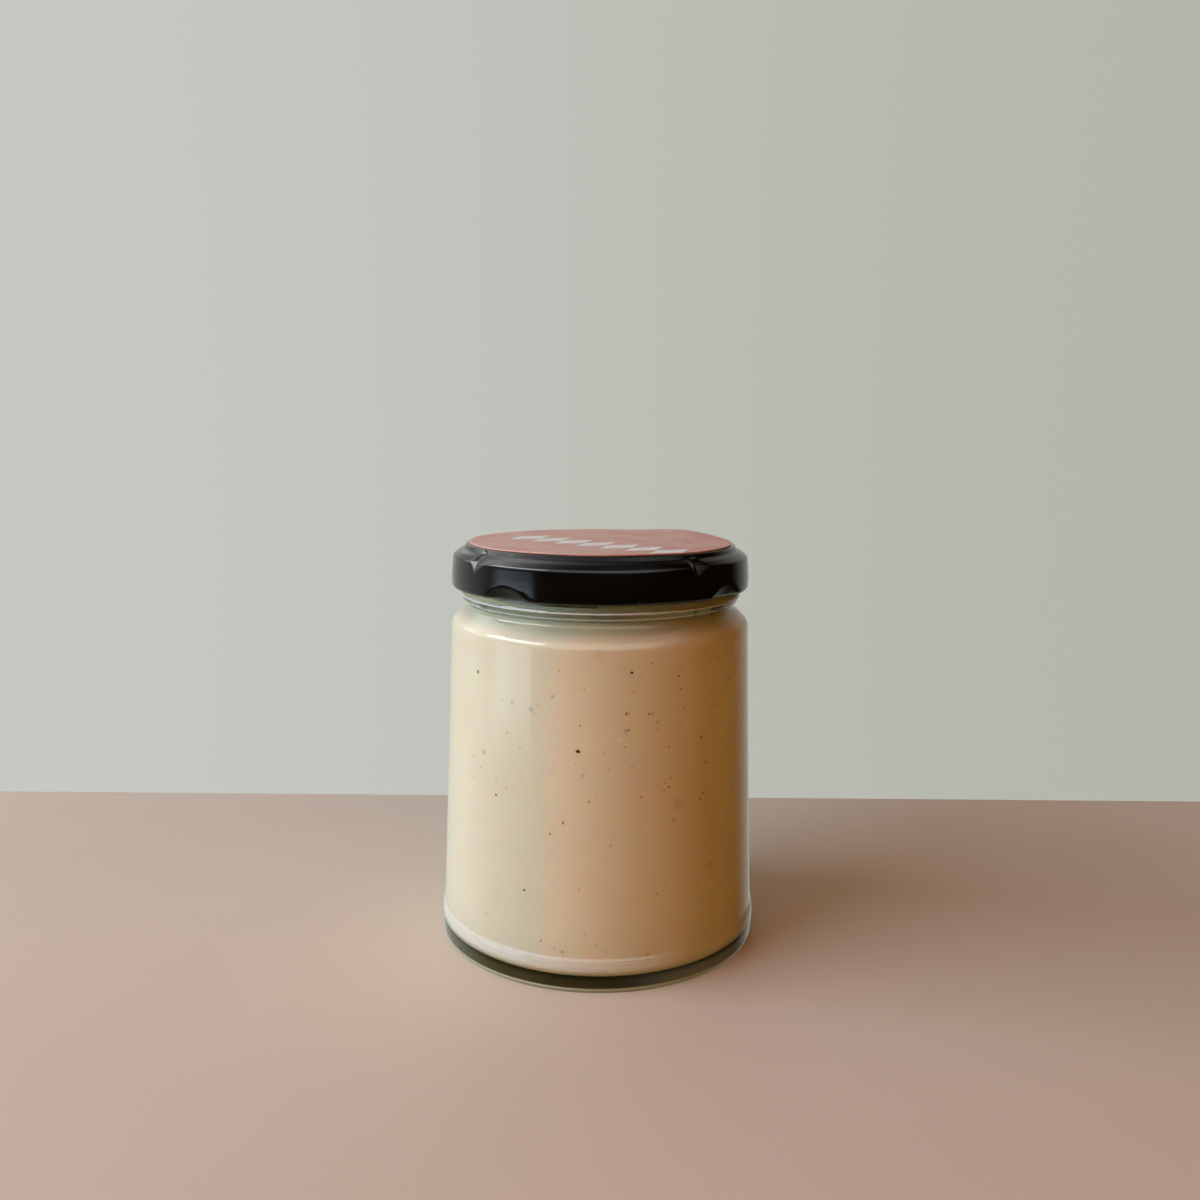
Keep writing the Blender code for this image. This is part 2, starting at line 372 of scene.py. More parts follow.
@dataclass(frozen=True)
class CreamySauce:
    """Thick pink-tinged cream sauce that light sinks into, with fine paprika, faint deeper spots and painted
    shade towards its top.
    """

    name: str
    sheen: float
    light: Colour = (0.79, 0.715, 0.57)
    warm: Colour = (0.77, 0.685, 0.53)
    # Painted shade colour for the top of the sauce, under the glass's thick shoulder.
    shoulder_shade: Colour = (0.38, 0.40, 0.28)
    spot: Colour = (0.46, 0.37, 0.27)
    paprika: Colour = (0.62, 0.23, 0.07)
    depth: float = 4.2 * MM
    spots_inwards: float = 2.05 * MM
    shoulder_shade_heights: tuple[float, float] = (72.6 * MM, 75.6 * MM)
    spots: Sequence[tuple[float, float, float]] = (
        (10.3, 59.2, 1.5), (19.6, 58.9, 1.3), (-16.9, 62.4, 1.4), (-33.4, 60.2, 1.5), (-25.4, 59.3, 1.6),
        (21.5, 57.0, 1.2), (9.8, 55.6, 1.6), (-5.5, 46.4, 1.3), (28.0, 36.0, 1.8), (-47.0, 48.0, 1.8),
    )

    def _spotted(self, g: Graph) -> Value:
        """Work out where something dark just below the surface shows.

        Args:
            g: The material's graph.

        Returns:
            How strongly it shows. The spots are given in degrees from the front, height and width in mm.
        """
        share = None
        for degrees, height, size in self.spots:
            angle = math.radians(degrees)
            radius = WallForm().radius(height * MM) - self.spots_inwards
            centre = (radius * math.sin(angle), -radius * math.cos(angle), height * MM)
            away = g.node("ShaderNodeVectorMath", {"operation": "DISTANCE"}, {0: g.place, 1: centre})
            spot = g.value(away, "Value").rise(0.5 * size * MM, 0.08 * size * MM)
            share = spot if share is None else share.most(spot)
        return share

    def material(self) -> bpy.types.Material:
        """Make the material.

        Returns:
            The material.
        """
        g = Graph(self.name)
        drift = g.noise(38.0, 3.0, 0.55, g.mapped((1.0, 1.0, 0.6))).rise(0.35, 0.68)
        colour = g.mix(drift, self.light, self.warm)
        # Painted shade: olive darkening towards the top, where the sauce lies under the glass's thick
        # shoulder.
        colour = g.mix(g.axes()[2].rise(*self.shoulder_shade_heights) * 0.8, colour, self.shoulder_shade)
        distance, chance = g.cells(120.0)
        deep = distance.rise(0.22, 0.04) * chance.rise(0.80, 0.86)
        colour = g.mix((deep * 0.35).most(self._spotted(g) * 0.55), colour, self.spot)
        distance, chance = g.cells(430.0)
        grains = distance.rise(0.16, 0.05) * chance.rise(0.86, 0.90)
        colour = g.mix(grains * 0.5, colour, self.paprika)
        shader = g.principled({
            "Base Color": colour,
            "Roughness": g.noise(160.0, 2.0) * 0.10 + 0.10,
            "IOR": 1.40,
            "Specular IOR Level": self.sheen,
            "Subsurface Weight": 1.0,
            "Subsurface Radius": (1.0, 0.55, 0.25),
            "Subsurface Scale": self.depth,
            "Normal": g.bump(g.noise(220.0, 3.0), 0.04 * MM),
        })
        return g.finish(Surface=shader)


@dataclass(frozen=True)
class Speck:
    """The finish of one kind of speck in the sauce."""

    name: str
    dark: Colour
    light: Colour
    roughness: float = 0.45

    def material(self) -> bpy.types.Material:
        """Return the material."""
        g = Graph(self.name)
        return g.finish(Surface=g.principled({
            "Base Color": g.mix(g.noise(1500.0, 2.0).rise(0.35, 0.65), self.dark, self.light),
            "Roughness": g.noise(2500.0) * 0.2 + self.roughness,
        }))


@dataclass(frozen=True)
class BlackLacquer:
    """Black stove lacquer on tinplate: glossy, slightly orange-peeled, with fine scuffs."""

    colour: Colour = (0.0022, 0.0022, 0.0020)
    worn: Colour = (0.0034, 0.0034, 0.0031)
    scuff: Colour = (0.30, 0.30, 0.28)

    def material(self) -> bpy.types.Material:
        """Make the material.

        Returns:
            The material.
        """
        g = Graph("black_lacquer")
        wear = g.noise(120.0, 3.0)
        distance, chance = g.cells(380.0, g.mapped((1.0, 1.0, 2.2)))
        flecks = distance.rise(0.13, 0.05) * chance.rise(0.965, 0.975)
        colour = g.mix(flecks * 0.55, g.mix(wear, self.colour, self.worn), self.scuff)
        peel = g.noise(700.0, 1.0) * 0.4 + g.noise(60.0, 2.0)
        shader = g.principled({
            "Base Color": colour,
            "Roughness": wear.rise(0.3, 0.75) * 0.06 + 0.095 + flecks * 0.3,
            "Specular IOR Level": 0.38,
            "Normal": g.bump(peel, 0.012 * MM),
        })
        return g.finish(Surface=shader)


@dataclass(frozen=True)
class GoldenLining:
    """The golden-brown lacquer on the inside of the cap."""

    colour: Colour = (0.58, 0.34, 0.17)
    worn: Colour = (0.50, 0.27, 0.12)

    def material(self) -> bpy.types.Material:
        """Make the material.

        Returns:
            The material.
        """
        g = Graph("golden_lining")
        cloud = g.noise(90.0, 3.0).rise(0.35, 0.7)
        shader = g.principled({
            "Base Color": g.mix(cloud, self.colour, self.worn),
            "Roughness": cloud * 0.15 + 0.3,
        })
        return g.finish(Surface=shader)


@dataclass(frozen=True)
class RedPaper:
    """Satin red paper with a printed row of white lozenges, and paper fibre showing in both."""

    red: Colour = (0.41, 0.082, 0.034)
    deep_red: Colour = (0.36, 0.064, 0.027)
    white: Colour = (0.74, 0.77, 0.765)
    bare: Colour = (0.72, 0.50, 0.44)
    turn: float = math.radians(-42.7)
    band_shift: float = 6.2 * MM
    band_centre: float = 4.4 * MM
    band_length: float = 48.3 * MM
    lozenge_pitch: float = 6.9 * MM
    lozenge_height: float = 6.4 * MM
    edge_radius: float = 28.95 * MM

    def _print(self, g: Graph) -> Value:
        """Work out where the white print is.

        Args:
            g: The material's graph.

        Returns:
            Its mask.
        """
        x, y, _ = g.axes()
        along = x * math.cos(self.turn) + y * math.sin(self.turn) - self.band_centre
        across = y * math.cos(self.turn) - x * math.sin(self.turn) + self.band_shift
        cell = abs((along / self.lozenge_pitch + 0.5).fraction() - 0.5) * 2.1
        lozenge = (cell + abs(across / self.lozenge_height)).rise(1.03, 0.93)
        inside = abs(along).rise(0.5 * self.band_length + 0.2 * MM, 0.5 * self.band_length)
        return lozenge * inside

    def material(self) -> bpy.types.Material:
        """Make the material.

        Returns:
            The material.
        """
        g = Graph("red_paper")
        x, y, _ = g.axes()
        fibre = g.noise(900.0, 4.0, 0.6, g.mapped((1.0, 0.35, 1.0), (0, 0, 0.5)))
        cloud = g.noise(90.0, 2.0).rise(0.3, 0.7)
        cut_edge = (x * x + y * y).root().rise(self.edge_radius, self.edge_radius + 0.25 * MM)
        colour = g.mix(cloud, self.red, self.deep_red)
        colour = g.mix(self._print(g), colour, self.white)
        colour = g.mix(cut_edge * 0.75, colour, self.bare)
        colour = g.mix(fibre.rise(0.62, 0.8) * 0.12, colour, self.white)
        shader = g.principled({
            "Base Color": colour,
            "Roughness": cloud * 0.14 + 0.26,
            "Specular IOR Level": 0.6,
        })
        return g.finish(Surface=shader)


@dataclass(frozen=True)
class PaleFloor:
    """The plain pale floor that the jar stands on, warmer and dimmer to the jar than to the camera."""

    colour: Colour = (0.74, 0.655, 0.54)
    shade: Colour = (0.70, 0.62, 0.51)
    bounce: Colour = (0.19, 0.072, 0.018)
    through: Colour = (0.85, 0.68, 0.28)

    def material(self) -> bpy.types.Material:
        """Make the material.

        Returns:
            The material.
        """
        g = Graph("pale_floor")
        ray = g.node("ShaderNodeLightPath")
        seen, passed = (g.value(ray, f"Is {kind} Ray") for kind in ("Camera", "Transmission"))
        colour = g.mix(g.noise(9.0, 3.0).rise(0.3, 0.7), self.colour, self.shade)
        shader = g.principled({
            "Base Color": g.mix(seen, g.mix(passed, self.bounce, self.through), colour),
            "Roughness": 0.6,
        })
        return g.finish(Surface=shader)


# Modelling


CAP_FRONT = Vector((0.0, -33.2 * MM, 81.0 * MM))
CAP_LIFT = Vector((0.0, 0.0, 0.28 * MM))
CAP_TILT = Matrix.Rotation(math.radians(-1.1), 3, "X")


def arc(centre: Point, radius: float, start: float, end: float, segments: int) -> list[Point]:
    """Return points on an arc of a section, its angles in degrees from the outward direction."""
    angles = (math.radians(start + (end - start) * i / segments) for i in range(segments + 1))
    return [(centre[0] + radius * math.cos(a), centre[1] + radius * math.sin(a)) for a in angles]


def rounded(corners: Sequence[tuple[float, float, float]], segments: int = 5) -> list[Point]:
    """Return a section with its corners rounded.

    Args:
        corners: Distance from the axis, height and rounding radius of each corner.
        segments: How many straight pieces each rounding is made of.

    Returns:
        The points in order.
    """
    points = [(corners[0][0], corners[0][1])]
    for before, here, after in zip(corners, corners[1:], corners[2:]):
        corner = Vector(here[:2])
        back, ahead = Vector(before[:2]) - corner, Vector(after[:2]) - corner
        half = 0.5 * back.angle(ahead)
        if here[2] <= 0.0 or half > math.radians(89.0):
            points.append((corner.x, corner.y))
            continue
        reach = min(here[2] / math.tan(half), 0.49 * back.length, 0.49 * ahead.length)
        start, end = corner + back.normalized() * reach, corner + ahead.normalized() * reach
        for i in range(segments + 1):
            t = i / segments
            point = start * (1 - t) ** 2 + corner * 2 * t * (1 - t) + end * t * t
            points.append((point.x, point.y))
    points.append((corners[-1][0], corners[-1][1]))
    return points


def bump_shape(offset: float, half_width: float) -> float:
    """Return a smooth bump: 1 at offset 0 and 0 from half_width on."""
    return 0.5 + 0.5 * math.cos(math.pi * min(1.0, abs(offset) / half_width))


def front_angle(point: Vector) -> float:
    """Return a point's angle round the axis, counted from the front towards +X."""
    return math.atan2(point.x, -point.y)


def nearest_offset(angle: float, first: float, count: int) -> float:
    """Return the angle to the nearest of count places spread evenly round the axis from first."""
    pitch = math.tau / count
    return (angle - first + 0.5 * pitch) % pitch - 0.5 * pitch


def seated(point: Vector) -> Vector:
    """Return a point of the cap as it sits: turned about its front edge, so that its back is lower."""
    return CAP_FRONT + CAP_LIFT + CAP_TILT @ (point - CAP_FRONT)


class Bench:
    """A piece on the modelling bench, worked on with Blender's operators."""

    def __init__(self, name: str) -> None:
        """Start the piece from a small plane at the origin, in edit mode.

        Args:
            name: The piece's name.
        """
        bpy.ops.object.select_all(action="DESELECT")
        bpy.ops.mesh.primitive_plane_add(size=MM, location=(0.0, 0.0, 0.0))
        self.piece = bpy.context.active_object
        self.piece.name = self.piece.data.name = name
        bpy.ops.object.mode_set(mode="EDIT")
        bpy.ops.mesh.select_all(action="SELECT")

    def draw(self, section: Sequence[Point]) -> None:
        """Melt the plane to one point and extrude that point along a section.

        Args:
            section: The section's points.
        """
        bpy.ops.mesh.merge(type="CENTER")
        bpy.ops.transform.translate(value=(section[0][0], 0.0, section[0][1]))
        for here, there in zip(section, section[1:]):
            step = (there[0] - here[0], 0.0, there[1] - here[1])
            bpy.ops.mesh.extrude_vertices_move(TRANSFORM_OT_translate={"value": step})

    def turn(self, steps: int) -> None:
        """Spin the section round the axis, merge its seam and poles, and point its faces outwards.

        Args:
            steps: How many faces go round.
        """
        bpy.ops.mesh.select_all(action="SELECT")
        bpy.ops.mesh.spin(steps=steps, angle=math.tau, center=(0, 0, 0), axis=(0, 0, 1))
        bpy.ops.mesh.select_all(action="SELECT")
        bpy.ops.mesh.remove_doubles(threshold=0.004 * MM)
        bpy.ops.mesh.normals_make_consistent(inside=False)

    def shape(self, move: Callable[[Vector], Vector]) -> None:
        """Leave edit mode and move every point.

        Args:
            move: Gives the new place of a point.
        """
        bpy.ops.object.mode_set(mode="OBJECT")
        for vertex in self.piece.data.vertices:
            vertex.co = move(vertex.co)

    def modify(self, kind: str, **settings: Any) -> None:
        """Add a modifier to the piece and apply it.

        Args:
            kind: The modifier's type.
            settings: Its properties.
        """
        modifier = self.piece.modifiers.new(kind.title(), kind)
        for name, value in settings.items():
            setattr(modifier, name, value)
        bpy.ops.object.modifier_apply(modifier=modifier.name)

    def take(self, material: bpy.types.Material, smooth_to: float = 35.0) -> bpy.types.Object:
        """Take the finished piece off the bench.

        Args:
            material: Its material.
            smooth_to: Up to which angle between faces, in degrees, it is shaded smooth.

        Returns:
            The piece.
        """
        if self.piece.mode != "OBJECT":
            bpy.ops.object.mode_set(mode="OBJECT")
        bpy.ops.object.shade_smooth_by_angle(angle=math.radians(smooth_to))
        self.piece.data.materials.clear()
        self.piece.data.materials.append(material)
        return self.piece


def hand_over(piece: bpy.types.Object, slot: Slot, *nodes: str) -> None:
    """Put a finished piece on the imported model's body, and report it.

    Args:
        piece: The piece.
        slot: The material slot that its finish stands for.
        nodes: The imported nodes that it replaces.
    """
    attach(piece, "root")
    if nodes:
        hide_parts(*nodes)
    faces = len(piece.data.polygons)
    LOG.info("%s: %d faces, finish %s, in place of %s", piece.name, faces, slot.value, nodes)


# The jar's pieces


@dataclass(frozen=True)
class WallForm:
    """The tapered wall, whose line the glass and the sauce share."""

    foot: float = 8.0 * MM
    top: float = 72.1 * MM
    foot_radius: float = 35.68 * MM
    taper: float = 2.45 * MM
    bow: float = 0.2 * MM
    thickness: float = 2.2 * MM

    def height(self, share: float) -> float:
        """Return the height at that share of the way up."""
        return self.foot + share * (self.top - self.foot)

    def radius(self, height: float) -> float:
        """Return the outer radius at a height."""
        t = (height - self.foot) / (self.top - self.foot)
        return self.foot_radius - self.taper * t + self.bow * t * t


@dataclass
class GlassJar:
    """The clear glass: base ring, punt, heel, tapered wall, shoulder, waist, bead, finish and rim."""

    wall: WallForm
    steps: int = 192
    heel_radius: float = 36.15 * MM
    heel_low: float = 4.2 * MM
    heel_high: float = 5.5 * MM
    base_corner: float = 1.55 * MM
    bearing_radius: float = 31.0 * MM
    punt_radius: float = 27.0 * MM
    punt_rise: float = 1.3 * MM
    floor_height: float = 3.0 * MM
    floor_dome: float = 1.2 * MM
    floor_corner: float = 2.6 * MM
    wall_rows: Sequence[float] = (0.97, 0.83, 0.66, 0.5, 0.33, 0.16, 0.06, 0.02, 0.004)
    foot_taper: float = 0.3 * MM
    shoulder_corner: float = 2.6 * MM
    inner_shoulder_corner: float = 2.2 * MM
    inner_shoulder_drop: float = 0.6 * MM
    collar_radius: float = 30.85 * MM
    collar_height: float = 78.1 * MM
    waist_radius: float = 30.05 * MM
    waist_low: float = 76.5 * MM
    waist_high: float = 77.3 * MM
    bead_radius: float = 31.4 * MM
    bead_height: float = 79.4 * MM
    bead_edge: float = 0.6 * MM
    finish_radius: float = 29.9 * MM
    finish_foot: float = 80.3 * MM
    rim_height: float = 88.2 * MM
    rim_corner: float = 1.2 * MM
    bore_radius: float = 27.3 * MM
    bore_foot: float = 77.6 * MM

    def inside(self, reach: float = 0.0) -> list[Point]:
        """Draw the cavity.

        Args:
            reach: How far the section is moved outwards, into the glass.

        Returns:
            The section, from the middle of the floor to the bore.
        """
        thickness, floor = self.wall.thickness - reach, self.floor_height - reach
        corner = (self.wall.foot_radius - thickness - self.floor_corner, floor + self.floor_corner)
        points = []
        for i in range(9):
            radius = self.punt_radius * 0.8 * i / 8
            points.append((radius, floor + self.floor_dome * (1.0 - (radius / self.punt_radius) ** 2)))
        points += arc(corner, self.floor_corner, -90, 0, 10)
        for share in (0.25, 0.5, 0.75):
            height = self.wall.height(share)
            points.append((self.wall.radius(height) - thickness, height))
        radius = self.wall.radius(self.wall.top) - thickness - self.inner_shoulder_corner
        centre = (radius, self.wall.top - self.inner_shoulder_drop)
        return points + arc(centre, self.inner_shoulder_corner, 0, 50, 7)

    def outside(self) -> list[Point]:
        """Draw the outside.

        Returns:
            The section, from the rim down to the middle of the underside.
        """
        rim_centre = (self.finish_radius - self.rim_corner, self.rim_height - self.rim_corner)
        points = arc(rim_centre, self.rim_corner, 90, 0, 8)
        bead = (self.bead_radius - self.bead_edge, self.bead_height)
        points.append((self.finish_radius, self.finish_foot + 0.1 * MM))
        points += arc(bead, self.bead_edge, 70, -20, 8)
        centre = (self.wall.radius(self.wall.top) - self.shoulder_corner, self.wall.top)
        shoulder = arc(centre, self.shoulder_corner, 50, 0, 10)
        points += rounded([
            (points[-1][0], points[-1][1], 0.0),
            (self.collar_radius, self.collar_height, 0.35 * MM),
            (self.waist_radius, self.waist_high, 0.7 * MM),
            (self.waist_radius, self.waist_low, 2.0 * MM),
            (shoulder[0][0], shoulder[0][1], 0.0),
        ])[1:-1]
        points += shoulder
        for share in self.wall_rows:
            height = self.wall.height(share)
            points.append((self.wall.radius(height), height))
        for i in range(9):
            height = self.wall.foot + (self.heel_high - self.wall.foot) * i / 9
            swell = (self.heel_radius - self.wall.foot_radius) * (1.0 - (1.0 - i / 9) ** 3)
            points.append((self.wall.foot_radius + swell, height))
        foot = (self.heel_radius - self.foot_taper, 0.0)
        points += rounded([
            (self.heel_radius, self.heel_high, 0.0),
            (self.heel_radius, self.heel_low, 3.0 * MM),
            (*foot, self.base_corner),
            (self.bearing_radius, 0.0, 0.0),
        ], 8)[:-1]
        punt = (self.punt_radius, 0.6 * self.punt_rise, 2.0 * MM)
        return points + rounded([(self.bearing_radius, 0.0, 0.0), punt, (0.0, self.punt_rise, 0.0)])

    def build(self) -> None:
        """Turn the glass and put it in place."""
        rim_foot = self.rim_height - self.rim_corner
        bore = rounded([
            (*self.inside()[-1], 0.0),
            (self.bore_radius, self.bore_foot, 1.2 * MM),
            (self.bore_radius, rim_foot, 0.0),
        ])[1:-1]
        rim = arc((self.bore_radius + self.rim_corner, rim_foot), self.rim_corner, 180, 90, 8)
        bench = Bench("glass_jar")
        bench.draw(self.inside() + bore + rim + self.outside())
        bench.turn(self.steps)
        hand_over(bench.take(PressedGlass().material(), 40.0), Slot.GLASS, "jar")


@dataclass(frozen=True)
class Smear:
    """A smear of sauce that has dried on the inside of the neck.

    It goes round from start to end, in degrees from the front. Its start leans towards its end by slant
    degrees at the top, and its foot is wider by a share.
    """

    name: str
    start: float
    end: float
    slant: float
    foot: float
    top: float


@dataclass
class SauceFill:
    """The sauce: a body that reaches just into the glass, with an uneven surface and smears in the neck."""

    glass: GlassJar
    reach: float = 0.15 * MM
    level: float = 78.0 * MM
    meniscus: float = 0.4 * MM
    steps: int = 160
    swell: float = 0.35 * MM
    smear_low: float = 76.8 * MM
    smear_reach: float = 0.12 * MM
    smear_thickness: float = 0.45 * MM
    smears: Sequence[Smear] = (
        Smear("sauce_streak", 45.5, 52.5, 0.0, 0.7, 83.0 * MM),
        Smear("sauce_film", -6.0, 42.4, 9.0, 0.0, 83.0 * MM),
        Smear("sauce_tide", -60.0, 10.0, 6.0, 0.0, 79.4 * MM),
    )

    def body(self) -> bpy.types.Object:
        """Turn the body of sauce and make its surface uneven.

        Returns:
            The piece, with one finish where it meets the glass and another where it meets the air.
        """
        edge = self.glass.bore_radius + self.reach
        side = self.glass.inside(self.reach) + [(edge, self.glass.bore_foot)]
        flat = self.level - self.meniscus
        surface = [(edge * t / 12, flat) for t in range(12)]
        surface += [(edge * 0.97, flat + 0.12 * MM), (edge, self.level)]
        bench = Bench("sauce_body")
        bench.draw(surface + list(reversed(side)))
        bench.turn(self.steps)

        def unevenness(point: Vector) -> Vector:
            """Raise the surface's inner part in soft swells.

            Args:
                point: A point of the body.

            Returns:
                Its new place.
            """
            if point.z > flat - 0.1 * MM:
                fade = min(1.0, max(0.0, (0.95 * edge - math.hypot(point.x, point.y)) / (4 * MM)))
                point.z += self.swell * fade * noise.noise(Vector((point.x, point.y, 0.0)) * 130.0)
            return point

        bench.shape(unevenness)
        piece = bench.take(CreamySauce("sauce_at_glass", 0.0).material(), 60.0)
        piece.data.materials.append(CreamySauce("sauce_in_air", 0.5).material())
        for face in piece.data.polygons:
            face.material_index = int(face.normal.z > 0.7 and face.center.z > self.glass.bore_foot - MM)
        return piece

    def smeared(self, smear: Smear, finish: bpy.types.Material) -> bpy.types.Object:
        """Lay one smear on the inside of the neck.

        Args:
            smear: Its form.
            finish: Its material.

        Returns:
            The piece.
        """
        bench = Bench(smear.name)
        bpy.ops.mesh.subdivide(number_cuts=31)
        radius = self.glass.bore_radius + self.smear_reach

        def wrapped(point: Vector) -> Vector:
            """Lay the flat patch on the inside of the neck.

            Args:
                point: A point of the patch.

            Returns:
                Its new place.
            """
            across, along = point.x / MM + 0.5, point.y / MM + 0.5
            height = self.smear_low + along * (smear.top - self.smear_low)
            wander = 0.35 * MM * noise.noise(Vector((3.1, smear.start, height * 700.0)))
            left = smear.start + smear.slant * along
            middle, half = 0.5 * (left + smear.end), 0.5 * (smear.end - left)
            ragged = 0.1 * noise.noise(Vector((0.0, 7.7, height * 500.0)))
            half *= 1.0 + smear.foot * ((1.0 - along) ** 3 + ragged)
            angle = math.radians(middle + (2.0 * across - 1.0) * half) + wander / radius
            return Vector((radius * math.sin(angle), -radius * math.cos(angle), height))

        bench.shape(wrapped)
        bench.modify("SOLIDIFY", thickness=self.smear_thickness, offset=-1.0)
        return bench.take(finish, 60.0)

    def build(self) -> None:
        """Make the sauce and its smears and put them in place."""
        body = self.body()
        hand_over(body, Slot.SAUCE, "sauce")
        for smear in self.smears:
            hand_over(self.smeared(smear, body.data.materials[1]), Slot.SAUCE)


@dataclass
class SpeckKind:
    """One kind of speck: its finish, those seen from the front and how many more there are."""

    name: str
    finish: Speck
    places: Sequence[tuple[float, float, float]]
    more: int
    sizes: tuple[float, float]


@dataclass
class SauceSpecks:
    """Pepper, husk, paprika and tiny bubbles that show where the sauce meets the glass."""

    wall: WallForm
    reach: float = 0.19 * MM
    scale: float = 1.25
    seed: int = 41
    flatness: float = 0.35
    back_share: float = 0.85
    back: tuple[float, float] = (62.0, 290.0)
    front: tuple[float, float] = (-60.0, 60.0)
    heights: tuple[float, float] = (7.0, 71.0)

    def kinds(self) -> list[SpeckKind]:
        """List the kinds of speck.

        Returns:
            The kinds, with each place as degrees from the front, height and length in mm.
        """
        pepper = ((-7.4, 51.3, 0.72), (11.8, 67.6, 0.50), (-40.1, 39.6, 0.46), (30.2, 66.2, 0.34),
                  (26.1, 51.6, 0.36), (10.8, 55.8, 0.30), (26.1, 43.1, 0.34), (24.1, 42.6, 0.30))
        husk = ((-51.6, 64.9, 0.62), (31.1, 63.4, 0.34), (19.3, 69.4, 0.3), (-5.4, 64.3, 0.26),
                (37.0, 58.1, 0.28), (32.4, 59.3, 0.3), (39.8, 39.1, 0.42), (9.7, 59.2, 0.5),
                (18.2, 58.9, 0.46))
        paprika = ((40.4, 52.5, 0.5), (26.9, 44.9, 0.34), (24.5, 44.1, 0.28), (41.3, 40.3, 0.42),
                   (15.3, 41.6, 0.42), (-12.5, 36.1, 0.5), (-17.2, 33.5, 0.36), (21.4, 20.5, 0.34),
                   (-20.0, 10.2, 0.42), (-15.1, 9.1, 0.3), (-12.2, 8.4, 0.34), (-0.4, 10.3, 0.34),
                   (2.8, 8.8, 0.3), (18.0, 7.7, 0.42), (-35.4, 53.5, 0.34), (-29.6, 50.8, 0.26),
                   (-6.7, 56.7, 0.4), (9.4, 52.3, 0.3), (1.9, 51.0, 0.3), (11.9, 48.1, 0.26),
                   (-48.5, 44.6, 0.32), (-68.0, 39.0, 0.34), (-24.0, 58.4, 0.26))
        bubbles = ((1.8, 54.5, 0.3), (7.6, 53.8, 0.55), (8.6, 53.6, 0.45))
        black = Speck("cracked_pepper", (0.012, 0.009, 0.007), (0.07, 0.04, 0.02))
        brown = Speck("pepper_husk", (0.16, 0.085, 0.03), (0.34, 0.21, 0.09))
        red = Speck("paprika", (0.40, 0.10, 0.03), (0.62, 0.22, 0.07))
        pale = Speck("bubble_skin", (0.86, 0.80, 0.70), (0.95, 0.92, 0.86), 0.2)
        return [
            SpeckKind("pepper_specks", black, pepper, 26, (0.2, 0.5)),
            SpeckKind("husk_specks", brown, husk, 40, (0.18, 0.42)),
            SpeckKind("paprika_specks", red, paprika, 90, (0.16, 0.4)),
            SpeckKind("sauce_bubbles", pale, bubbles, 14, (0.15, 0.35)),
        ]

    def grain(self) -> bpy.types.Object:
        """Model one uneven grain, to be copied.

        Returns:
            The grain, a millimetre across.
        """
        bpy.ops.object.select_all(action="DESELECT")
        bpy.ops.mesh.primitive_ico_sphere_add(subdivisions=2, radius=0.5 * MM, location=(0.0, 0.0, 0.0))
        grain = bpy.context.active_object
        for vertex in grain.data.vertices:
            vertex.co *= 1.0 + 0.45 * noise.noise(vertex.co * 1500.0 + Vector((4.2, 1.7, 9.3)))
        return grain

    def scattered(self, kind: SpeckKind, draw: random.Random) -> list[tuple[float, float, float]]:
        """Spread the specks of one kind round the jar.

        Args:
            kind: The kind.
            draw: The random numbers.

        Returns:
            Its places, those seen in front and the rest, most of them at the back.
        """
        places = list(kind.places)
        for _ in range(kind.more):
            side = self.back if draw.random() < self.back_share else self.front
            places.append((draw.uniform(*side), draw.uniform(*self.heights), draw.uniform(*kind.sizes)))
        return places

    def build(self) -> None:
        """Copy the grain to every place and join each kind into one piece."""
        draw = random.Random(self.seed)
        grain = self.grain()
        shape = [vertex.co.copy() for vertex in grain.data.vertices]
        faces = [tuple(face.vertices) for face in grain.data.polygons]
        for kind in self.kinds():
            points, sides = [], []
            for angle, height, size in self.scattered(kind, draw):
                height, size = height * MM, size * self.scale
                radius = self.wall.radius(height) - self.wall.thickness + self.reach
                turn = Matrix.Rotation(math.radians(angle), 4, "Z")
                spin = Matrix.Rotation(draw.uniform(0, math.tau), 4, "Y")
                scale = Matrix.Diagonal((size, self.flatness * size, size * draw.uniform(0.55, 0.9), 1.0))
                out = Matrix.Translation((0.0, 0.12 * size * MM - radius, height))
                place = turn @ out @ spin @ scale
                first = len(points)
                points += [place @ point for point in shape]
                sides += [tuple(first + corner for corner in face) for face in faces]
            mesh = bpy.data.meshes.new(kind.name)
            mesh.from_pydata(points, [], sides)
            mesh.shade_smooth()
            mesh.materials.append(kind.finish.material())
            piece = bpy.data.objects.new(kind.name, mesh)
            bpy.context.scene.collection.objects.link(piece)
            hand_over(piece, Slot.SAUCE)
        bpy.data.objects.remove(grain)


